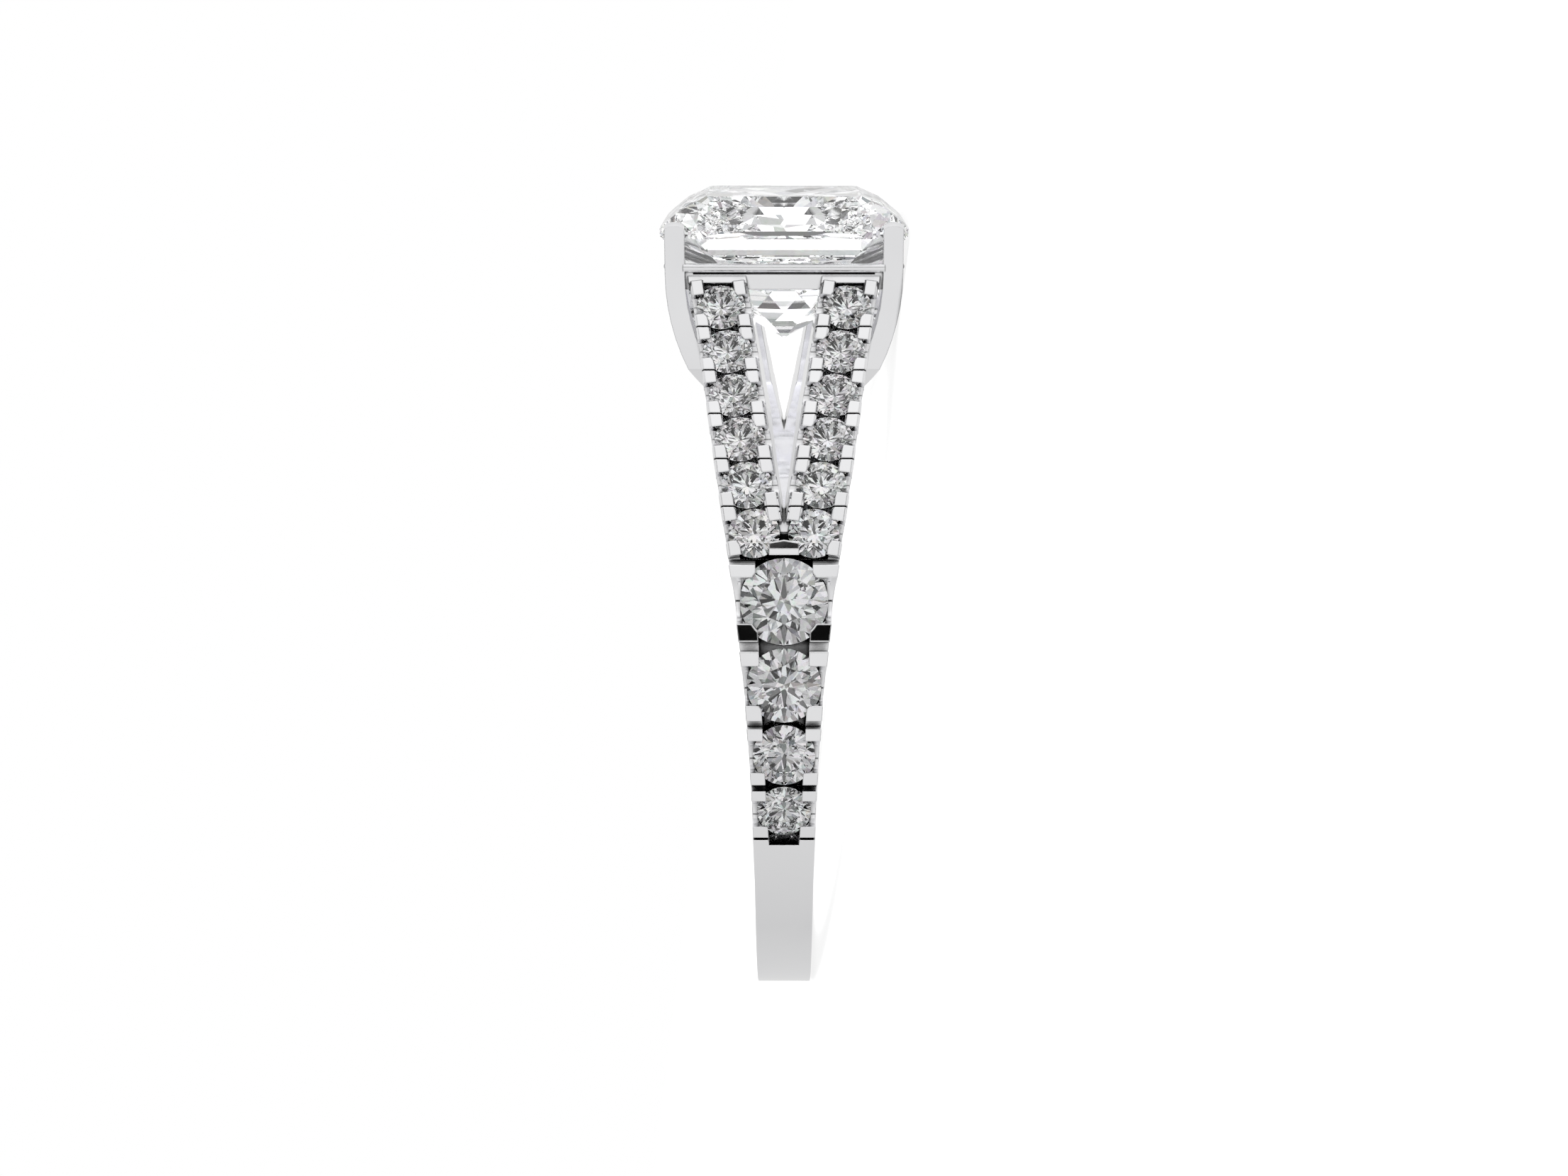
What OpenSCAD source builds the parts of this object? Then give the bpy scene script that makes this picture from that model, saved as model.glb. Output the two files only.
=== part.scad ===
// Split shank ring with a square radiant-cut centre stone and stone-set shoulders.
// Millimetres. The ring lies on its side, as it rests on a table.
// Every piece is drawn in the ring's own frame and then laid down. In that frame
// x runs across the front view, y is the finger axis, z points at the centre stone,
// and the origin is the middle of the finger hole.

/* [Band] */
// Inner diameter of the finger hole
finger_d = 17.3; // [14:0.1:22]
// Wall of the band between the finger hole and its outer face
band_t = 1.65; // [1.5:0.05:2.4]
// Width of the plain band at its bottom
band_w = 1.57; // [1.2:0.01:2.5]
// Width of the shank at the height of the crotch, where it splits into two arms
crotch_w = 3.366; // [3.2:0.002:4.2]

/* [Arms] */
// Angle above the middle of the finger hole at which the arms start
arm_start_deg = 30.9; // [28:0.1:33]
// Height of the crotch above the arms' start
crotch_rise = 0.75; // [0.6:0.01:1]
// Sideways lean of an arm for each millimetre of height
arm_lean = 0.1756; // [0.15:0.0002:0.2]
// Tilts of an arm's facets from upright, one a stone, from the lowest up
arm_tilts = [30.3, 36.3, 40.5, 42, 40, 36.1]; // [28:0.1:44]
// Half width of the open basket between the arms' inner faces
basket_half = 2.4; // [1.8:0.05:2.6]

/* [Round stones] */
// Diameter of the stones on the arms
arm_stone_d = 1.41; // [1.3:0.01:1.5]
// Gap between two stones on an arm
arm_stone_gap = 0.04; // [0.02:0.01:0.12]
// Diameters of the graduated stones on the shank, from the arms down
shank_stone_d = [2.41, 2.03, 1.71, 1.49]; // [1.3:0.01:2.5]
// Gap between two stones on the shank
shank_stone_gap = 0.08; // [0.02:0.01:0.15]
// Table diameter as a share of the stone's diameter
brilliant_table = 0.56; // [0.5:0.01:0.65]
// Angle of the crown mains
crown_deg = 34.5; // [30:0.1:37]
// Angle of the pavilion mains
pavilion_deg = 40.75; // [39:0.05:43]
// Thickness of the girdle as a share of the stone's diameter
brilliant_girdle = 0.03; // [0.01:0.005:0.05]

/* [Centre stone] */
// Width of the square stone across its girdle
stone_w = 7.26; // [6.9:0.01:7.6]
// Length that each corner cut takes off a side of the girdle
stone_corner = 1.09; // [0.8:0.01:1.4]
// Height of the lower girdle edge above the top of the finger hole
stone_rise = 4.75; // [4.5:0.01:5.5]
// Height of the girdle band
girdle_h = 0.22; // [0.1:0.01:0.35]
// Width of the table
table_w = 4.54; // [4:0.01:5]
// Height of the crown over the girdle
crown_h = 0.885; // [0.6:0.005:1.1]
// Depth of the pavilion under the girdle
pavilion_h = 3.36; // [3:0.01:3.7]

/* [Head] */
// Width of a prong
prong_w = 0.58; // [0.45:0.01:0.7]
// Distance that a prong's outer faces lie inside the sides of the centre stone
prong_inset = 0.18; // [0.1:0.01:0.3]
// Height of the prong tips over the upper girdle edge
prong_rise = 0.23; // [0.15:0.01:0.4]
// Radius of the dome that rounds a prong tip
prong_dome_r = 0.55; // [0.5:0.01:0.8]
// Depth below the stone's girdle at which the prongs start to curve inward
prong_bend_drop = 1; // [0.9:0.05:1.3]
// Radius of that curve on the outer side
prong_bend_r = 6.32; // [5.8:0.02:7.5]
// Depth of the side walls' level bottom below the girdle
side_wall_drop = 4.5; // [4.2:0.05:4.6]
// Half width of that level bottom
side_wall_foot = 2.2; // [1.5:0.05:2.8]
// Height of the slanted corners beside it
side_wall_corner = 0.7; // [0.4:0.05:0.9]
// Radius of the round opening in the top of each side wall
side_wall_r = 2.87; // [2.4:0.01:2.87]
// Radius of the round gallery rail
rail_r = 0.13; // [0.1:0.01:0.2]
// Depth of the rail's axis below the girdle
rail_drop = 0.85; // [0.7:0.01:0.95]
// Distance that the rail's outer side stands out from the prongs' outer faces
rail_proud = 0.05; // [0:0.01:0.1]
// Height from the bottom of the plate under the rail to the rail's axis
gallery_h = 0.62; // [0.4:0.01:0.8]
// Wall of that plate
gallery_t = 0.31; // [0.25:0.01:0.33]
// Height of the groove between the rail and the plate
groove_h = 0.05; // [0.03:0.01:0.08]
// Depth of that groove
groove_d = 0.08; // [0.05:0.01:0.1]
// Length of that groove
groove_l = 5.26; // [4:0.02:5.4]

/* [Stone setting] */
// Clearance between a stone and its seat
seat_clear = 0.03; // [0.02:0.005:0.05]
// Height of the beads and plates over the upper girdle edge of the round stones
bead_rise = 0.17; // [0.1:0.01:0.25]
// Width of a bead on the arms
bead_w = 0.41; // [0.3:0.01:0.45]
// Width and depth of the chamfers on the beads' long edges
bead_chamfer = 0.06; // [0.03:0.01:0.1]
// Distance from an arm's edge to its beads
bead_inset = 0.03; // [0.02:0.01:0.08]
// Depth of the shelf that the beads stand on
bead_shelf = 0.24; // [0.15:0.01:0.3]
// Width of a bead that reaches over the channel
bead_overhang = 0.11; // [0.06:0.01:0.16]
// Distance from a bead's end to the scallop beside it
bead_setback = 0.02; // [0.01:0.005:0.04]
// Length of a bead pair as a share of the distance between two stones
bead_share = 0.6; // [0.5:0.01:0.64]
// Width of the seam that parts the two beads of a pair
bead_seam = 0.05; // [0.03:0.01:0.08]
// Depth of that seam
seam_d = 0.19; // [0.1:0.01:0.2]
// Depth of the plain block above the top stones, under the bead tops
block_d = 0.05; // [0.02:0.01:0.1]
// Depth of the channels under the stones
channel_d = 0.6; // [0.45:0.01:0.7]
// Half width of the shank channel at its lower end
channel_low = 0.42; // [0.3:0.01:0.5]
// Half width of the shank channel at the arms
channel_high = 0.8; // [0.6:0.01:0.9]
// Depth of the round scallops beside the stones
scallop_d = 0.45; // [0.35:0.01:0.55]
// Length of a scallop on the shank as a share of its stone's diameter
scallop_share = 0.54; // [0.4:0.01:0.65]
// Width of the cuts across the shank as a share of the diameter of the stones beside them
cut_share = 0.12; // [0.08:0.01:0.16]
// Depth of those cuts
cut_d = 0.4; // [0.2:0.01:0.5]
// Half width of the bridge plate that holds the lowest arm stones
bridge_half = 0.41; // [0.3:0.01:0.5]
// Length of the bridge plate along the shank
bridge_l = 0.42; // [0.3:0.01:0.5]
// Length of the low lip at its lower end
bridge_lip = 0.17; // [0.1:0.01:0.25]
// Angle by which the plate above the lip stands more upright
bridge_turn = 10.5; // [5:0.5:14]
// Height of the bridge plate's peak
bridge_peak = 0.07; // [0:0.01:0.15]
// Half width of the pocket between the bridge plate and the crotch
pocket_half = 0.28; // [0.15:0.01:0.32]
// Depth of that pocket
pocket_d = 0.5; // [0.3:0.01:0.52]
// Rise of the pocket's floor towards the crotch, in degrees
pocket_turn = 12; // [4:1:20]
// Distance from the pocket to the crotch
pocket_wall = 0.09; // [0.05:0.01:0.2]

/* [Hidden] */
sides = ["near", "far"];
rows = ["left", "right"];
function arm_stone_name(side, row, k) = str("arm_stone_", side, "_", row, "_", k);
function shank_stone_name(side, k) = str("shank_stone_", side, "_", k);
arm_count = len(arm_tilts);
shank_count = len(shank_stone_d);
$fn = 64;

finger_r = finger_d / 2;
band_r = finger_r + band_t;
// Cuts reach this far past the metal that they open
over = 1;
// Cuts across an arm stop this far past it, clear of the other arm
spill = 0.1;
// The gallery reaches this far into the prongs
lap = 0.05;
// The shank reaches this angle past the arms' start, inside them
join_deg = 0.5;
// Longer than the ring in every direction
whole = 4 * band_r;

arm_w = crotch_w / 2;
arm_pitch = arm_stone_d + arm_stone_gap;
crotch_z = band_r * sin(arm_start_deg) + crotch_rise;

stone_half = stone_w / 2;
table_half = table_w / 2;
stone_z = finger_r + stone_rise;
girdle_top = stone_z + girdle_h;
stone_top = girdle_top + crown_h;

prong_out = stone_half - prong_inset;
prong_bend_z = stone_z - prong_bend_drop;
side_wall_z = stone_z - side_wall_drop;
rail_x = prong_out + rail_proud - rail_r;
rail_z = stone_z - rail_drop;
gallery_z = rail_z - gallery_h;
gallery_in = rail_x - gallery_t;
groove_half = groove_l / 2;

// Side view outline of the shank from its bottom to the start of the arms
// Columns: height as a share of the outer radius, growth of the width as a share
// of the growth from the band to the crotch
shank_outline = [[-1.1, 0], [-1, 0], [-0.39, 0.04], [-0.1, 0.13], [0.146, 0.31], [0.408, 0.64]];

// Levels of the centre stone between its table and its culet
// Columns: half width as a share of the stone's, length of the four sides as a share
// of that level's width, height as a share of the crown's or the pavilion's
crown_break = [0.86, 0.79, 0.49];
crown_rows = [[0.8, 0.5, 0.72], [0.878, 0.27, 0.49], [0.955, 0.5, 0.2]];
table_side = 0.9;
pavilion_break = [0.76, 0.56, 0.36];
pavilion_rows = [[0.615, 0.2, 0.53], [0.435, 0.52, 0.675], [0.24, 0.42, 0.835]];
// Single points: distance from the middle as a share of the half width, depth share
pavilion_side_points = [[0.413, 0.71]];
pavilion_corner_points = [[0.672, 0.53], [0.46, 0.69]];

// Front view points on the line that joins the bead tops of an arm
function arm_vertex(k) = k == 0
    ? band_r * [cos(arm_start_deg), sin(arm_start_deg)]
    : arm_vertex(k - 1) + arm_pitch * [-sin(arm_tilts[k - 1]), cos(arm_tilts[k - 1])];
function arm_tilt_at(k) = (arm_tilts[max(k - 1, 0)] + arm_tilts[min(k, arm_count - 1)]) / 2;
function arm_surface(k, depth) = arm_vertex(k) - depth * [cos(arm_tilt_at(k)), sin(arm_tilt_at(k))];
function arm_end(depth, z) = let (p = arm_surface(arm_count, depth))
    [p[0] - (z - p[1]) * tan(arm_tilts[arm_count - 1]), z];

// Sideways middle of an arm at a height
function arm_middle(z) = arm_w / 2 + arm_lean * (z - crotch_z);

// Angles above the middle of the finger hole, from a run along the girdle line
function run_deg(run) = arm_start_deg - run / (band_r - bead_rise) * 180 / PI;
function shank_run(k) = k == 0
    ? shank_stone_d[0] / 2
    : shank_run(k - 1) + (shank_stone_d[k - 1] + shank_stone_d[k]) / 2 + shank_stone_gap;
function shank_stone_deg(k) = run_deg(shank_run(k));
function shank_cut_deg(k) = run_deg(shank_run(k) + (shank_stone_d[k] + shank_stone_gap) / 2);
function shank_cut_w(k) = let (next_d = k + 1 < shank_count ? shank_stone_d[k + 1] : 0)
    cut_share * (shank_stone_d[k] + next_d) / 2;
setting_end_deg = run_deg(
    shank_run(shank_count - 1) + (0.5 + cut_share) * shank_stone_d[shank_count - 1] + shank_stone_gap
);

// Where the band's bottom edge and the centre stone's lower girdle edge touch the table
rest_band = [band_w / 2, -band_r];
rest_stone = [stone_half, stone_z];
rest_deg = atan2(rest_stone[0] - rest_band[0], rest_stone[1] - rest_band[1]);
rest_lift = rest_band[0] * cos(rest_deg) - rest_band[1] * sin(rest_deg);
laid_low = -rest_band[0] * sin(rest_deg) + rest_band[1] * cos(rest_deg);
laid_high = table_half * sin(rest_deg) + stone_top * cos(rest_deg);

// The ring's own frame laid on its side, centred over the origin
module lay_down() {
    translate([0, -(laid_low + laid_high) / 2, rest_lift])
        rotate([rest_deg - 90, 0, 0]) children();
}

// Front view outline made solid along the finger axis
module front_prism(points, w = whole) rotate([90, 0, 0]) linear_extrude(w, center = true) polygon(points);

// Side view outline made solid across the ring
module side_prism(points) rotate([90, 0, 90]) linear_extrude(whole, center = true) polygon(points);

module finger_axis_cylinder(r) rotate([90, 0, 0]) cylinder(r = r, h = whole, center = true);

module facing(side) mirror([side == "far" ? 1 : 0, 0, 0]) children();
module in_row(row) mirror([0, row == "left" ? 1 : 0, 0]) children();
module both_sides() for (side = sides) facing(side) children();
module both_rows() for (row = rows) in_row(row) children();

// Frame on the front of the ring: x runs along the finger axis, y up and z out
module on_front(p, tilt) {
    multmatrix([
        [0, -sin(tilt), cos(tilt), p[0]],
        [1, 0, 0, 0],
        [0, cos(tilt), sin(tilt), p[1]],
        [0, 0, 0, 1]
    ]) children();
}
module on_shank(deg) on_front(band_r * [cos(deg), sin(deg)], deg) children();
module on_arm(p, tilt) translate([0, arm_middle(p[1]), 0]) on_front(p, tilt) children();
module on_arm_stone(k) on_arm((arm_vertex(k) + arm_vertex(k + 1)) / 2, arm_tilts[k]) children();
module on_arm_gap(k) on_arm(arm_vertex(k), arm_tilt_at(k)) children();

// Round brilliant: its upper girdle edge lies at z = 0 and its table faces +z
function brilliant_crown(r) = tan(crown_deg) * (1 - brilliant_table) * r;
function brilliant_pavilion(r) = tan(pavilion_deg) * r;
module point_hull(points) hull() polyhedron(points, [[for (i = [0:len(points) - 1]) i]]);
module brilliant(d) {
    r = d / 2;
    mains = 8;
    main_deg = 360 / mains;
    table_r = brilliant_table * r;
    girdle = brilliant_girdle * d;
    star_r = (table_r * cos(main_deg / 2) + r) / 2;
    star_z = tan(crown_deg) * (r - star_r * cos(main_deg / 2));
    lower_r = 0.22 * r;
    lower_z = tan(pavilion_deg) * (r - lower_r * cos(main_deg / 2));
    bulge = r * (1 - cos(main_deg / 4));
    crown_dip = bulge * star_z / (r - star_r);
    pavilion_dip = bulge * lower_z / (r - lower_r);
    point_hull([
        for (k = [0:mains - 1], a = k * main_deg) [table_r * cos(a), table_r * sin(a), brilliant_crown(r)],
        for (k = [0:mains - 1], a = (k + 0.5) * main_deg) [star_r * cos(a), star_r * sin(a), star_z],
        for (k = [0:4 * mains - 1], a = k * main_deg / 4) [r * cos(a), r * sin(a), -(k % 2) * crown_dip],
        for (k = [0:4 * mains - 1], a = k * main_deg / 4)
            [r * cos(a), r * sin(a), (k % 2) * pavilion_dip - girdle],
        for (k = [0:mains - 1], a = (k + 0.5) * main_deg)
            [lower_r * cos(a), lower_r * sin(a), -girdle - lower_z],
        [0, 0, -girdle - brilliant_pavilion(r)]
    ]);
}

// Room for a round stone: its pavilion cone, girdle and crown cone, open over the table
module seat(d) {
    c = seat_clear;
    side = d / 2 + c;
    mouth = brilliant_table * d / 2 + c;
    deep = brilliant_girdle * d + brilliant_pavilion(d / 2) + c / cos(pavilion_deg);
    rotate_extrude() polygon([
        [0, -deep],
        [side, -deep + tan(pavilion_deg) * side],
        [side, c],
        [mouth, c + tan(crown_deg) * (side - mouth)],
        [mouth, over],
        [0, over]
    ]);
}

// Eight corners of a level of the centre stone, from its half width and side share
function stone_ring(half, side, z) = let (m = half * side) [
    for (p = [[half, m], [m, half], [-m, half], [-half, m], [-half, -m], [-m, -half], [m, -half], [half, -m]])
        [p[0], p[1], z]
];

// Distance from the middle of a level to its cut corners
function stone_diagonal(half, side) = half * (1 + side) / sqrt(2);

module stone_body() {
    girdle_side = 1 - stone_corner / stone_half;
    function crown_ring(row) = stone_ring(row[0] * stone_half, row[1], girdle_top + row[2] * crown_h);
    function pavilion_ring(row) = stone_ring(row[0] * stone_half, row[1], stone_z - row[2] * pavilion_h);
    function four(first_deg, p) = let (r = p[0] * stone_half) [for (a = [first_deg:90:first_deg + 270])
        [r * cos(a), r * sin(a), stone_z - p[1] * pavilion_h]];
    point_hull(concat(
        stone_ring(table_half, table_side, stone_top),
        crown_ring(crown_break),
        [for (row = crown_rows) each crown_ring(row)],
        stone_ring(stone_half, girdle_side, girdle_top),
        stone_ring(stone_half, girdle_side, stone_z),
        pavilion_ring(pavilion_break),
        [for (row = pavilion_rows) each pavilion_ring(row)],
        [for (p = pavilion_side_points) each four(0, p)],
        [for (p = pavilion_corner_points) each four(45, p)],
        [[0, 0, stone_z - pavilion_h]]
    ));
}

// Round shank before any setting work, as seen from the front
module shank_front() {
    far = 2 * band_r;
    end_deg = arm_start_deg + join_deg;
    intersection() {
        finger_axis_cylinder(band_r);
        front_prism([
            [0, 0],
            far * [cos(end_deg), sin(end_deg)],
            [far, -far],
            [-far, -far],
            far * [-cos(end_deg), sin(end_deg)]
        ]);
    }
}

// One side's arms before any setting work, as seen from the front
module arms_front() {
    start = [cos(arm_start_deg), sin(arm_start_deg)];
    front_prism([
        (band_r - bead_shelf) * start,
        for (k = [1:arm_count]) arm_surface(k, bead_shelf),
        arm_surface(arm_count, block_d),
        arm_end(block_d, rail_z),
        [gallery_in, rail_z],
        [gallery_in, gallery_z],
        [basket_half, gallery_z - (gallery_in - basket_half)],
        [basket_half, crotch_z],
        (finger_r - over) * start
    ]);
}

// Side view outline of shank and arms, with the split between the arms
module side_blank() {
    grow = (crotch_w - band_w) / 2;
    edge = concat(
        [for (row = shank_outline) [band_w / 2 + row[1] * grow, row[0] * band_r]],
        [[arm_w + arm_lean * (stone_z - crotch_z), stone_z]]
    );
    difference() {
        side_prism(concat(edge, [for (i = [len(edge) - 1:-1:0]) [-edge[i][0], edge[i][1]]]));
        side_prism([
            [0, crotch_z],
            [arm_lean * (stone_z + over - crotch_z), stone_z + over],
            [-arm_lean * (stone_z + over - crotch_z), stone_z + over]
        ]);
    }
}

// Crosswise round cut, with its length at a surface and its depth below it
module scallop(l, depth, from, to) {
    r = (l * l / 4 + depth * depth) / (2 * depth);
    translate([from, 0, r - depth]) rotate([0, 90, 0]) cylinder(r = r, h = to - from);
}

// Crosswise straight cut, from the depth up and past the surface
module cross_cut(l, depth, w) translate([-w / 2, -l / 2, -depth]) cube([w, l, depth + over]);

// Scallops beside the stones of one arm and the channel between its bead rows
module arm_grooves() {
    edge = arm_w / 2 + spill;
    for (k = [0:arm_count - 1]) on_arm_stone(k) translate([0, 0, -bead_shelf])
        scallop((1 - bead_share) * arm_pitch, scallop_d - bead_shelf, k == 0 ? 0 : -edge, edge);
    half = arm_w / 2 - bead_inset - bead_w + bead_overhang;
    low = arm_vertex(0)[1];
    high = arm_vertex(arm_count)[1];
    intersection() {
        front_prism([
            for (k = [0:arm_count]) arm_surface(k, -over),
            for (k = [arm_count:-1:0]) arm_surface(k, channel_d)
        ]);
        side_prism([
            [arm_middle(low - over) - half, low - over],
            [arm_middle(low - over) + half, low - over],
            [arm_middle(high + over) + half, high + over],
            [arm_middle(high + over) - half, high + over]
        ]);
    }
}

// Scallops, crosswise cuts and channel on one side of the round shank
module shank_grooves() {
    for (k = [0:shank_count - 1]) {
        on_shank(shank_stone_deg(k))
            scallop(scallop_share * shank_stone_d[k], scallop_d, -crotch_w, crotch_w);
        on_shank(shank_cut_deg(k)) cross_cut(shank_cut_w(k), cut_d, crotch_w + over);
    }
    start_cut = cut_share * (shank_stone_d[0] + arm_stone_d) / 2;
    on_shank(arm_start_deg) translate([0, (over - start_cut) / 2, 0])
        cross_cut(start_cut + over, cut_d, crotch_w + over);
    far = 2 * band_r;
    end_deg = arm_start_deg + 2 * join_deg;
    intersection() {
        side_prism([
            [-channel_low, band_r * sin(setting_end_deg)],
            [channel_low, band_r * sin(setting_end_deg)],
            [channel_high, band_r * sin(arm_start_deg)],
            [-channel_high, band_r * sin(arm_start_deg)]
        ]);
        difference() {
            front_prism([
                [0, 0],
                far * [cos(setting_end_deg), sin(setting_end_deg)],
                far * [cos(end_deg), sin(end_deg)]
            ]);
            finger_axis_cylinder(band_r - channel_d);
        }
    }
}

// Bar with chamfered edges from one point to another along an arm, at a distance beside its middle
module bead(k, beside, from, to) {
    half = bead_w / 2;
    c = bead_chamfer;
    on_arm_gap(k) translate([beside, 0, 0]) rotate([-90, 0, -atan(arm_lean * cos(arm_tilt_at(k)))])
        translate([0, 0, from]) linear_extrude(to - from)
            polygon([[-half, bead_w], [-half, c], [c - half, 0], [half - c, 0], [half, c], [half, bead_w]]);
}

// Bead pairs along both edges of one arm, with a single bead at each end
module arm_beads() {
    l = bead_share * arm_pitch / 2 - bead_setback;
    edge = (arm_w - bead_w) / 2 - bead_inset;
    for (beside = [-edge, edge]) {
        for (k = [1:arm_count - 1]) bead(k, beside, -l, l);
        bead(arm_count, beside, -l, block_d);
    }
    bead(0, edge, bead_seam, bead_seam + l);
}

module arm_seams() {
    for (k = [1:arm_count - 1]) on_arm_gap(k) cross_cut(bead_seam, seam_d, arm_w);
}

// Pocket that joins the channels of two arms below the crotch
module pocket() {
    low = over / 4;
    high = crotch_rise / cos(arm_tilts[0]) - pocket_wall;
    on_front(arm_vertex(0), arm_tilts[0]) rotate([90, 0, 90])
        linear_extrude(2 * pocket_half, center = true) polygon([
            [-low, -pocket_d],
            [high, (low + high) * tan(pocket_turn) - pocket_d],
            [high, over],
            [-low, over]
        ]);
}

// Peaked plate across the start of the split, over the lowest stones' inner edges
module bridge_plate() {
    h = bridge_half;
    deep = channel_d + bead_shelf;
    rise = (bridge_l - bridge_lip) * tan(bridge_turn);
    on_front(arm_vertex(0), arm_tilts[0]) translate([0, bead_seam, 0]) intersection() {
        translate([0, 0, -deep]) linear_extrude(deep + over)
            polygon([
                [-h, 0],
                [h, 0],
                [h, bridge_l - bridge_peak],
                [0, bridge_l],
                [-h, bridge_l - bridge_peak]
            ]);
        rotate([90, 0, 90]) linear_extrude(2 * over, center = true) polygon([
            [-over, -over],
            [-over, 0],
            [bridge_lip, 0],
            [bridge_l, rise],
            [bridge_l + over, rise],
            [bridge_l + over, -over]
        ]);
    }
}

// Straight corner prong with a domed tip
module prong() {
    middle = prong_out - prong_w / 2;
    tip = girdle_top + prong_rise;
    intersection() {
        translate([prong_out - prong_w, prong_out - prong_w, prong_bend_z])
            cube([prong_w, prong_w, tip - prong_bend_z]);
        union() {
            translate([middle, middle, tip - prong_dome_r]) sphere(prong_dome_r);
            translate([middle - prong_w, middle - prong_w, prong_bend_z - over])
                cube([2 * prong_w, 2 * prong_w, tip - prong_dome_r - prong_bend_z + over]);
        }
    }
}

// Curved side wall that two prongs run into, a round U in the front view
module side_wall() {
    foot = side_wall_z + side_wall_corner;
    intersection() {
        translate([0, prong_out - prong_bend_r, prong_bend_z]) rotate([0, 90, 0]) difference() {
            cylinder(r = prong_bend_r, h = whole, center = true);
            cylinder(r = prong_bend_r - prong_w, h = whole + over, center = true);
        }
        difference() {
            front_prism([
                [-prong_out, prong_bend_z],
                [-prong_out, foot],
                [-side_wall_foot, side_wall_z],
                [side_wall_foot, side_wall_z],
                [prong_out, foot],
                [prong_out, prong_bend_z]
            ], whole - over);
            translate([0, 0, prong_bend_z]) finger_axis_cylinder(side_wall_r);
        }
        translate([-whole / 2, 0, 0]) cube(whole);
    }
}

// Square gallery between the prongs: a round rail on a plate
module gallery() {
    reach = prong_out - prong_w + lap;
    for (turn = [0:90:270]) rotate([0, 0, turn]) {
        translate([rail_x, 0, rail_z]) rotate([90, 0, 0]) cylinder(r = rail_r, h = 2 * reach, center = true);
        difference() {
            translate([gallery_in, -reach, gallery_z]) cube([gallery_t, 2 * reach, gallery_h]);
            translate([rail_x - groove_d, -groove_half, rail_z - rail_r - groove_h])
                cube([groove_d + over, 2 * groove_half, 2 * groove_h]);
        }
    }
}

// Room for a cut corner of the centre stone in a prong
module prong_notch() {
    c = 1.5 * seat_clear;
    girdle_x = stone_diagonal(stone_half, 1 - stone_corner / stone_half) + c;
    crown_x = stone_diagonal(crown_break[0] * stone_half, crown_break[1]) + c;
    crown_z = girdle_top + crown_break[2] * crown_h + c;
    pavilion_x = stone_diagonal(pavilion_break[0] * stone_half, pavilion_break[1]);
    rotate([0, 0, 45]) front_prism([
        [pavilion_x, stone_z - pavilion_break[2] * pavilion_h - c],
        [girdle_x, stone_z - c],
        [girdle_x, girdle_top + c / 2],
        [crown_x, crown_z],
        [crown_x, crown_z + over],
        [pavilion_x, crown_z + over]
    ], 2 * prong_w);
}

module shank_seat(k) on_shank(shank_stone_deg(k)) translate([0, 0, -bead_rise]) seat(shank_stone_d[k]);

module shank() {
    difference() {
        intersection() {
            shank_front();
            side_blank();
        }
        both_sides() {
            shank_grooves();
            for (k = [0:shank_count - 1]) shank_seat(k);
        }
    }
}

// The two arms on one side, with their beads and seats
module arms() {
    difference() {
        union() {
            difference() {
                intersection() {
                    arms_front();
                    side_blank();
                }
                pocket();
                both_rows() arm_grooves();
            }
            bridge_plate();
            both_rows() arm_beads();
        }
        shank_seat(0);
        both_rows() {
            for (k = [0:arm_count - 1]) on_arm_stone(k) translate([0, 0, -bead_rise]) seat(arm_stone_d);
            arm_seams();
        }
    }
}

// Gallery, prongs and side walls, with room for the centre stone
module head() {
    difference() {
        union() {
            both_sides() both_rows() prong();
            both_rows() side_wall();
            gallery();
        }
        both_sides() both_rows() prong_notch();
    }
}

module mounting() color("gainsboro") lay_down() difference() {
    union() {
        shank();
        both_sides() arms();
        head();
    }
    finger_axis_cylinder(finger_r);
}

module centre_stone() color("white") lay_down() stone_body();

module arm_stone(side, row, k) color("white") lay_down() facing(side) in_row(row)
    on_arm_stone(k - 1) translate([0, 0, -bead_rise]) brilliant(arm_stone_d);

module shank_stone(side, k) color("white") lay_down() facing(side)
    on_shank(shank_stone_deg(k - 1)) translate([0, 0, -bead_rise]) brilliant(shank_stone_d[k - 1]);

mounting();
centre_stone();
for (side = sides, row = rows, k = [1:arm_count])
    arm_stone(side, row, k);
for (side = sides, k = [1:shank_count])
    shank_stone(side, k);
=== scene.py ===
# Finishes, light and camera for a split shank ring that lies on its side.
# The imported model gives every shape. Lengths are in metres where nothing else is
# said, and the ring's own frame has x towards the camera, y along the finger axis
# and z at the stone.
import math

import bpy
from mathutils import Matrix, Vector

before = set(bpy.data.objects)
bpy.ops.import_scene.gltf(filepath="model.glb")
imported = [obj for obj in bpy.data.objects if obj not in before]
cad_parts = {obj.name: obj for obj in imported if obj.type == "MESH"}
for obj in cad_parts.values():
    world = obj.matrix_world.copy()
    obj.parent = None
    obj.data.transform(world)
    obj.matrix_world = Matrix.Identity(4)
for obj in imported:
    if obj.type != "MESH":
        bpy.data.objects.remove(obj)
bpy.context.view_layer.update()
mm = 0.001

# How the ring lies: turned about x until its band and its stone touch the table
restDeg = 6.845
ringUp = Vector((0, math.cos(math.radians(restDeg)), math.sin(math.radians(restDeg))))
ringRight = Vector((0, math.sin(math.radians(restDeg)), -math.cos(math.radians(restDeg))))
holeMiddle = Vector((0, -2.1760, 2.0070)) * mm


def inRoom(x, y, z):
    # A point of the ring's own frame, in millimetres, as it lies in the scene
    return holeMiddle + mm * (x * Vector((1, 0, 0)) + y * ringRight + z * ringUp)


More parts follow.
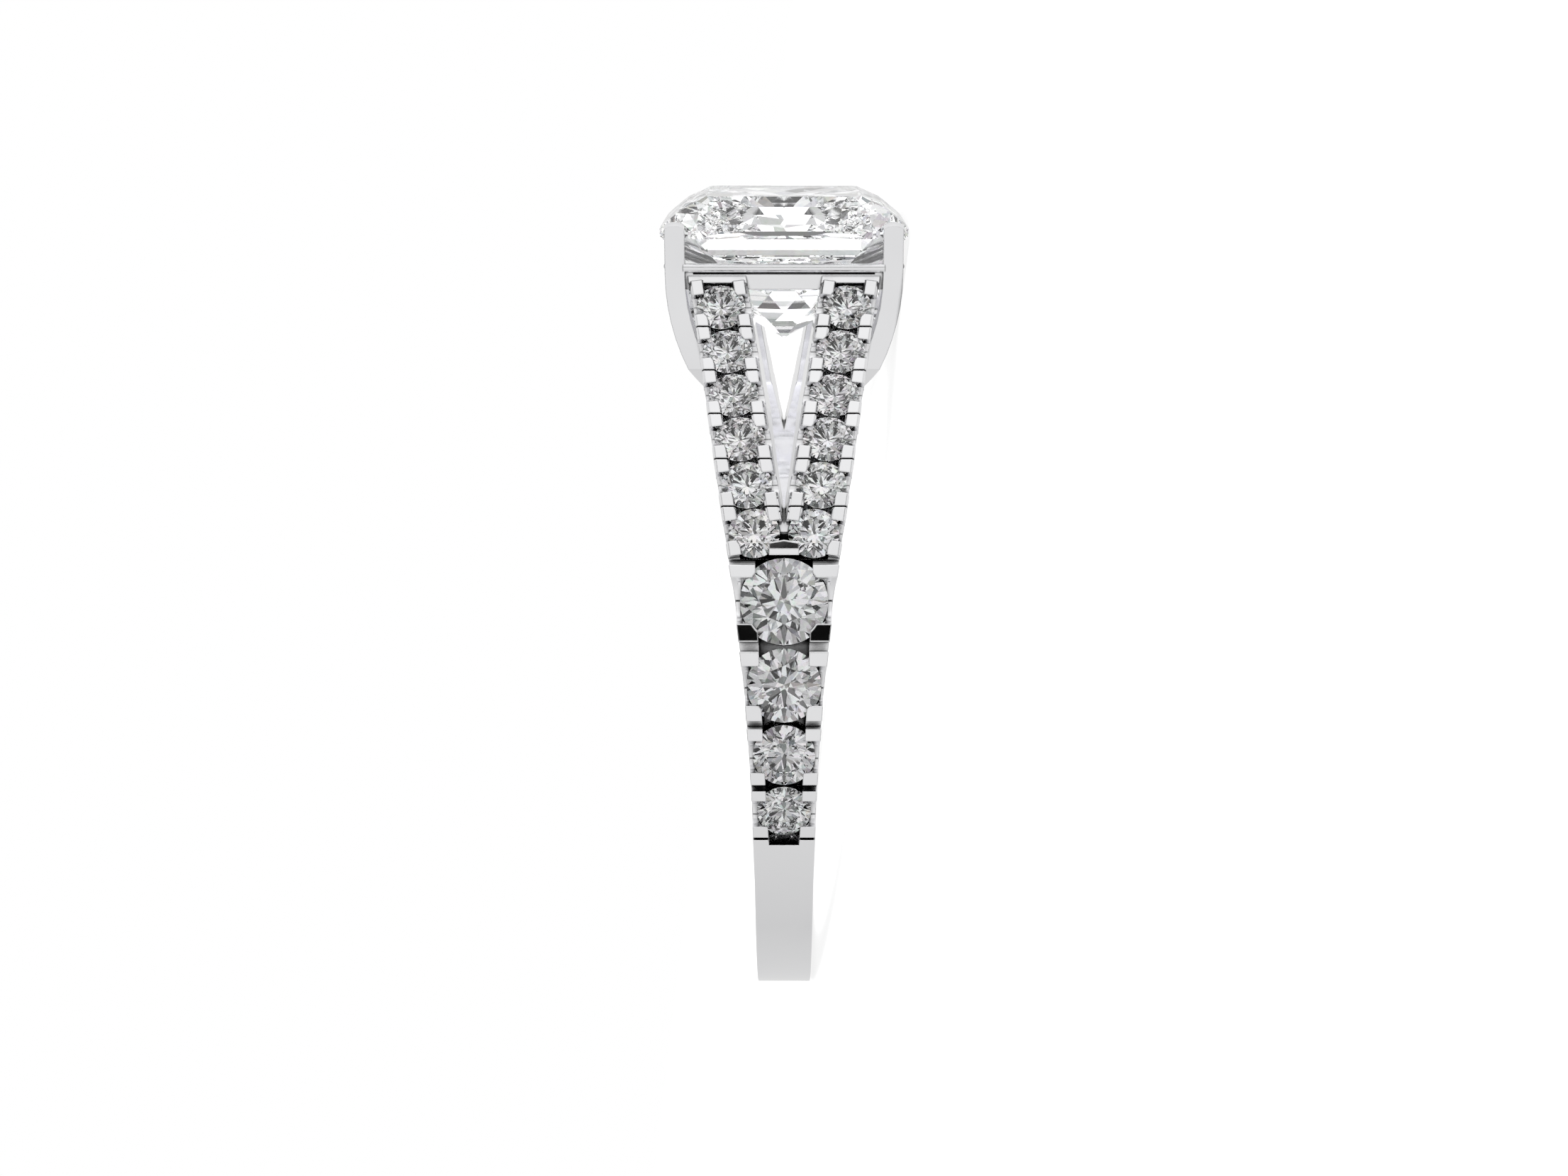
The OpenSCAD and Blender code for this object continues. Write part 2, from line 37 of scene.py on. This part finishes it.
# Shader maths: a socket that takes part in ordinary arithmetic
class Wire:
    def __init__(self, tree, socket):
        self.tree = tree
        self.socket = socket

    def maths(self, operation, *values):
        return add(self.tree, "ShaderNodeMath", {"operation": operation}, *values)

    def __add__(self, other):
        return self.maths("ADD", self, other)

    def __radd__(self, other):
        return self.maths("ADD", other, self)

    def __rsub__(self, other):
        return self.maths("SUBTRACT", other, self)

    def __mul__(self, other):
        return self.maths("MULTIPLY", self, other)

    def __rmul__(self, other):
        return self.maths("MULTIPLY", other, self)

    def __truediv__(self, other):
        return self.maths("DIVIDE", self, other)

    def __abs__(self):
        return self.maths("ABSOLUTE", self)

    def between(self, low, high):
        # 0 below low, 1 above high, smooth on the way
        return add(self.tree, "ShaderNodeMapRange", {"interpolation_type": "SMOOTHSTEP"}, self, low, high)


def add(tree, kind, settings=None, *values, out=0, **named):
    # A node with its settings and inputs. The wire leaves from the output that out names
    node = tree.nodes.new(kind)
    for name, value in (settings or {}).items():
        if name == "stops":
            ramp = node.color_ramp.elements
            while len(ramp) < len(value):
                ramp.new(0.5)
            for stop, (position, shade) in zip(ramp, value):
                stop.position = position
                stop.color = grey(shade)
        else:
            setattr(node, name, value)
    for socket, value in list(zip(node.inputs, values)) + [(node.inputs[n], v) for n, v in named.items()]:
        plug(tree, socket, value)
    return Wire(tree, node.outputs[out])


def plug(tree, socket, value):
    if isinstance(value, Wire):
        tree.links.new(value.socket, socket)
    else:
        socket.default_value = value


# The colour sockets of a mix node, which shares their names with its other sockets
mixShare = 0
mixFirst = 6
mixSecond = 7
mixResult = 2


def mixed(tree, share, first, second, blend="MIX"):
    mix = add(tree, "ShaderNodeMix", {"data_type": "RGBA", "blend_type": blend}, out=mixResult)
    inputs = mix.socket.node.inputs
    plug(tree, inputs[mixShare], share)
    plug(tree, inputs[mixFirst], first)
    plug(tree, inputs[mixSecond], second)
    return mix


def grey(value):
    return (value, value, value, 1)


def newMaterial(name):
    material = bpy.data.materials.new(name)
    material.use_nodes = True
    material.node_tree.nodes.clear()
    return material, material.node_tree


def finishWith(tree, shader):
    tree.links.new(shader.socket, tree.nodes.new("ShaderNodeOutputMaterial").inputs["Surface"])


# Polished white metal
metalLook = {
    "shade": (0.94, 0.94, 0.95, 1),
    "shadeLow": (0.88, 0.88, 0.895, 1),
    "cloudScale": 260.0,  # broad clouds of wear
    "cloudShade": (0.2, 0.6),  # how much cloud gives the lower and the full shade
    "cloudWear": (0.3, 0.75),  # and the lower and the full roughness
    "wipeScale": 1500.0,  # fine marks of the cloth within those clouds
    "wipeWear": (0.25, 0.8),
    "wipeRough": 0.65,
    "roughLow": 0.035,
    "roughHigh": 0.085,
    "edge": 0.055,  # millimetres of softness on the polished edges
    "ripple": 0.008,  # height of the polisher's ripple as a share of a millimetre
    "rippleScale": 420.0,
    # Painted shade in the metal's colour: black in narrow gaps and round the stones' seats
    "reach": 0.25,  # millimetres over which a narrow gap turns dark
    "deep": [(0.0, 0.0), (0.4, 0.005), (0.55, 0.5), (0.75, 1.0)],
    # Painted shade over a wider reach, only between the large stones of the shank
    "wideReach": 0.75,  # the same between the large stones of the shank
    "wideShadeStops": [(0.0, 0.0), (0.28, 0.005), (0.4, 0.6), (0.56, 1.0)],
    "wideTop": (5.9, 6.5),  # millimetres above the finger axis where the small stones take over
    "wideBottom": (-2.4, -2.2),  # and where the plain band begins
    "inside": 8.70,  # millimetres from the finger axis within which the finger wall lies
    "insideEdge": 0.01,
    # Painted light: the finger wall glows a little, in place of the light that the closed hoop keeps inside
    "paintedInsideGlow": 0.06,  # light that the closed hoop keeps inside
}


def fromAxis(tree, place):
    # Distance of a point of the metal from the finger axis
    arm = add(tree, "ShaderNodeVectorMath", {"operation": "SUBTRACT"}, place, holeMiddle)
    across = add(tree, "ShaderNodeVectorMath", {"operation": "CROSS_PRODUCT"}, arm, ringRight)
    return add(tree, "ShaderNodeVectorMath", {"operation": "LENGTH"}, across, out="Value")


def upAxis(tree, place):
    # Height of a point of the metal above the finger axis
    arm = add(tree, "ShaderNodeVectorMath", {"operation": "SUBTRACT"}, place, holeMiddle)
    return add(tree, "ShaderNodeVectorMath", {"operation": "DOT_PRODUCT"}, arm, ringUp, out="Value")


def paintedGapShade(tree, reach, stops):
    # Painted shade: white in the open and black where metal or stones close in within the reach
    opening = add(tree, "ShaderNodeAmbientOcclusion", {"samples": 8}, out="AO", Distance=reach * mm)
    return add(tree, "ShaderNodeValToRGB", {"stops": stops}, opening)


def polishedMetal(look):
    material, tree = newMaterial("polished white metal")
    place = add(tree, "ShaderNodeTexCoord", out="Object")
    cloud = add(tree, "ShaderNodeTexNoise", {}, place, Scale=look["cloudScale"], Detail=3.0)
    wipe = add(tree, "ShaderNodeTexNoise", {}, place,
               Scale=look["wipeScale"], Detail=4.0, Roughness=look["wipeRough"])
    wear = cloud.between(*look["cloudWear"]) * wipe.between(*look["wipeWear"])
    rough = look["roughLow"] + (look["roughHigh"] - look["roughLow"]) * wear
    polish = mixed(tree, cloud.between(*look["cloudShade"]), look["shadeLow"], look["shade"])
    narrowGapShade = paintedGapShade(tree, look["reach"], look["deep"])
    wideGapShade = paintedGapShade(tree, look["wideReach"], look["wideShadeStops"])
    level = upAxis(tree, place) / mm
    large = level.between(*look["wideBottom"]) * (1 - level.between(*look["wideTop"]))
    # The metal's colour times the painted gap shade, with the wider painted shade only between the large
    # shank stones
    shade = mixed(tree, 1.0, polish, narrowGapShade * (1 - large * (1 - wideGapShade)), "MULTIPLY")
    edges = add(tree, "ShaderNodeBevel", {"samples": 6}, look["edge"] * mm)
    ripple = add(tree, "ShaderNodeTexNoise", {}, place, Scale=look["rippleScale"], Detail=1.0)
    bump = add(tree, "ShaderNodeBump", {}, Strength=look["ripple"], Distance=mm, Height=ripple, Normal=edges)
    # Painted glow: the metal within the inside distance of the finger axis emits a little light
    outside = (fromAxis(tree, place) / mm).between(look["inside"] - look["insideEdge"], look["inside"])
    glow = add(tree, "ShaderNodeValToRGB", {"stops": [(0.0, look["paintedInsideGlow"]), (1.0, 0.0)]}, outside)
    finishWith(tree, add(tree, "ShaderNodeBsdfPrincipled", {}, Metallic=1.0, Roughness=rough, Normal=bump,
                         **{"Base Color": shade, "Emission Color": glow, "Emission Strength": 1.0}))
    return material


# Cut stones: refraction through a clear body, greyed for the arm and shank stones as painted shade, with a
# faint tint in small cells for fire
stoneLook = {
    "ior": 2.42,
    "mirror": 0.45,  # how strongly a facet mirrors the room from outside
    "fire": 0.16,  # how strongly a cell is tinted
    "fireColour": 1.6,
    "fireCells": 2.2,  # patches that hold tinted cells, for each cell
    "fireFrom": (0.5, 0.75),  # how much of that pattern gives no tint and the full tint
}
centreLook = {**stoneLook, "cell": 0.62, "clear": (0.985, 0.988, 0.99, 1)}  # cell: millimetres between tints
# Painted shade: the arm and shank stones get a grey body, darker than the nearly clear centre stone
armLook = {**stoneLook, "cell": 0.34, "clear": (0.68, 0.68, 0.69, 1)}
shankLook = {**stoneLook, "cell": 0.34, "clear": (0.58, 0.58, 0.59, 1)}


def cutStone(name, look):
    material, tree = newMaterial(name)
    cell = look["cell"] * mm
    place = add(tree, "ShaderNodeTexCoord", out="Object")
    cells = add(tree, "ShaderNodeTexVoronoi", {}, place, Scale=1 / cell, out="Color")
    tints = add(tree, "ShaderNodeHueSaturation", {}, Saturation=look["fireColour"], Value=1.0, Color=cells)
    bright = add(tree, "ShaderNodeTexNoise", {}, place, Scale=look["fireCells"] / cell, Detail=1.0)
    shade = mixed(tree, look["fire"] * bright.between(*look["fireFrom"]), look["clear"], tints)
    finishWith(tree, add(tree, "ShaderNodeBsdfPrincipled", {}, IOR=look["ior"], Roughness=0.0,
                         **{"Base Color": shade, "Transmission Weight": 1.0,
                            "Specular Tint": grey(look["mirror"])}))
    return material


finishes = {
    "mounting": polishedMetal(metalLook),
    "centre": cutStone("clear centre stone", centreLook),
    "arm": cutStone("clear arm stones", armLook),
    "shank": cutStone("clear shank stones", shankLook),
}
for name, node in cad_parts.items():
    for slot in node.material_slots:
        slot.material = finishes[name.split("_")[0]]
print("finishes on", len(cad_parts), "nodes")

# White studio, written in the ring's own directions
studio = {
    # degrees of height and the shade of the walls there
    "heights": [
        (-90, 0.63), (-70, 0.66), (-45, 0.70), (-13, 0.78),
        (35, 0.80), (60, 0.84), (75, 0.96), (90, 1.05),
    ],
    "gap": (19.0, 27.0),  # degrees of height of the dark gap between the lamps in front
    "gapEdge": 0.8,
    "gapHalf": 0.42,  # half width of that gap as the sine of an angle
    "gapSoft": 0.04,
    "gapFront": (0.2, 0.3),  # where the gap starts and is full, as sines towards the front
    "gapShade": 0.004,
    "flags": (0.74, 0.80, 0.95, 0.985),  # dark panels at both sides, as sines of the angle to the front
    "flagHeight": 0.8,
    "flagSoft": 0.1,
    "flagFront": (0.0, 0.1),
    "flagShade": 0.05,
    "backdrop": 1.0,
}
# What the stones gather from the room: lamps, grey walls and dark gaps between them
sparkle = {
    "cells": 3.4,
    "start": (0.3, 0.9, 0.1),  # where the pattern of patches starts
    "tones": [(0.0, 0.02), (0.09, 0.3), (0.21, 0.6), (0.37, 0.9), (0.62, 1.35)],
    "fire": 0.10,
    "fireCells": 2.7,  # coloured patches for each patch of light or dark
    "cardShade": 0.2,  # the grey card round the lens, which only rays through a stone meet
    "cardDeg": 10.0,
    "cardSoft": 0.01,
    "lensDeg": 14.5,
}


def studioLight(look, gems):
    world = bpy.data.worlds.new("white studio")
    bpy.context.scene.world = world
    world.use_nodes = True
    tree = world.node_tree
    tree.nodes.clear()
    facing = add(tree, "ShaderNodeTexCoord", out="Generated")

    def along(direction):
        return add(tree, "ShaderNodeVectorMath", {"operation": "DOT_PRODUCT"}, facing, direction, out="Value")

    height = along(ringUp).maths("ARCSINE", along(ringUp)) * (180 / math.pi)
    side = abs(along(ringRight))
    front = along((1, 0, 0))
    stops = [((h + 90) / 180, shade) for h, shade in look["heights"]]
    walls = add(tree, "ShaderNodeValToRGB", {"stops": stops}, height / 180 + 0.5)
    low, high = look["gap"]
    edge = look["gapEdge"]
    half = look["gapHalf"]
    soft = look["gapSoft"]
    gap = height.between(low - edge, low + edge) * (1 - height.between(high - edge, high + edge))
    gap = gap * front.between(*look["gapFront"]) * (1 - side.between(half - soft, half + soft))
    room = mixed(tree, gap, walls, grey(look["gapShade"]))
    inner, innerFull, outerFull, outer = look["flags"]
    top = look["flagHeight"]
    flag = side.between(inner, innerFull) * (1 - side.between(outerFull, outer))
    flag = flag * front.between(*look["flagFront"])
    flag = flag * (1 - abs(along(ringUp)).between(top - look["flagSoft"], top))
    room = mixed(tree, flag, room, grey(look["flagShade"]))
    # patches of light and dark for the stones
    spot = add(tree, "ShaderNodeVectorMath", {"operation": "ADD"}, facing, gems["start"])
    cells = add(tree, "ShaderNodeTexVoronoi", {}, spot, Scale=gems["cells"], out="Color")
    tone = add(tree, "ShaderNodeSeparateColor", {}, cells, out="Red")
    patches = add(tree, "ShaderNodeValToRGB", {"stops": gems["tones"]}, tone)
    patches.socket.node.color_ramp.interpolation = "CONSTANT"
    hueScale = gems["cells"] * gems["fireCells"]
    hues = add(tree, "ShaderNodeTexVoronoi", {}, facing, Scale=hueScale, out="Color")
    patches = mixed(tree, gems["fire"], patches, hues, "OVERLAY")
    lensTurn = math.radians(gems["lensDeg"])
    lens = math.cos(lensTurn) * Vector((1, 0, 0)) + math.sin(lensTurn) * ringUp
    cardCos = math.cos(math.radians(gems["cardDeg"]))
    card = along(lens).between(cardCos - gems["cardSoft"], cardCos)
    patches = mixed(tree, card, patches, grey(gems["cardShade"]))
    throughStone = add(tree, "ShaderNodeLightPath", out="Is Transmission Ray")
    room = mixed(tree, throughStone, room, patches)
    seen = add(tree, "ShaderNodeLightPath", out="Is Camera Ray")
    room = add(tree, "ShaderNodeBackground", {}, Color=room)
    plain = add(tree, "ShaderNodeBackground", {}, Color=grey(1), Strength=look["backdrop"])
    both = add(tree, "ShaderNodeMixShader", {}, seen, room, plain)
    tree.links.new(both.socket, tree.nodes.new("ShaderNodeOutputWorld").inputs["Surface"])


studioLight(studio, sparkle)

# Pale floor that the ring lies on, washed by a wide lamp that the metal does not see
floorLook = {
    "half": 1.5,
    "shade": 0.93,
    "rough": 0.9,
    "grainScale": 900.0,
    "grainDepth": 0.01,
    "glow": 0.88,  # share of the floor's white that no shadow touches
    "lamp": 8.0,
    "softDeg": 140,
}


def paleFloor(look):
    bpy.ops.object.select_all(action="DESELECT")
    bpy.ops.mesh.primitive_plane_add(size=2 * look["half"], location=(0, 0, 0))
    floor = bpy.context.object
    floor.name = "floor"
    material, tree = newMaterial("pale floor")
    place = add(tree, "ShaderNodeTexCoord", out="Object")
    grain = add(tree, "ShaderNodeTexNoise", {}, place, Scale=look["grainScale"], Detail=2.0)
    stops = [(0, look["shade"] - look["grainDepth"]), (1, look["shade"])]
    tone = add(tree, "ShaderNodeValToRGB", {"stops": stops}, grain)
    matt = add(tree, "ShaderNodeBsdfPrincipled", {}, Roughness=look["rough"], **{"Base Color": tone})
    lit = add(tree, "ShaderNodeEmission", {}, grey(1), 1.0)
    finishWith(tree, add(tree, "ShaderNodeMixShader", {}, look["glow"], matt, lit))
    floor.data.materials.append(material)
    floor.visible_glossy = False
    floor.visible_transmission = False
    bpy.ops.object.light_add(type="SUN", location=(0, 0, 1))
    lamp = bpy.context.object
    lamp.name = "floor wash"
    lamp.data.energy = look["lamp"]
    lamp.data.angle = math.radians(look["softDeg"])
    lamp.visible_glossy = False
    lamp.visible_transmission = False


paleFloor(floorLook)

# Camera in front of the ring, above the middle of the finger hole: millimetres in the ring's own frame
cameraLook = {"lens": 50.0, "sensor": 36.0, "away": 66.66, "height": 19.37, "downDeg": 14.51, "near": 1.0}


def photoCamera(look):
    data = bpy.data.cameras.new("camera")
    data.lens = look["lens"]
    data.sensor_width = look["sensor"]
    data.clip_start = look["near"] * mm
    camera = bpy.data.objects.new("camera", data)
    bpy.context.scene.collection.objects.link(camera)
    down = math.radians(look["downDeg"])
    forward = -math.cos(down) * Vector((1, 0, 0)) - math.sin(down) * ringUp
    up = ringRight.cross(forward)
    turned = Matrix((ringRight, up, -forward)).transposed().to_4x4()
    camera.matrix_world = Matrix.Translation(inRoom(look["away"], 0, look["height"])) @ turned
    bpy.context.scene.camera = camera


photoCamera(cameraLook)
scene = bpy.context.scene
scene.view_settings.view_transform = "Standard"
# Light passes many facets and bounces often between the side walls before it gets out
lightBounces = 64
scene.cycles.max_bounces = lightBounces
scene.cycles.glossy_bounces = lightBounces
scene.cycles.transmission_bounces = lightBounces
print("camera, light and floor set")
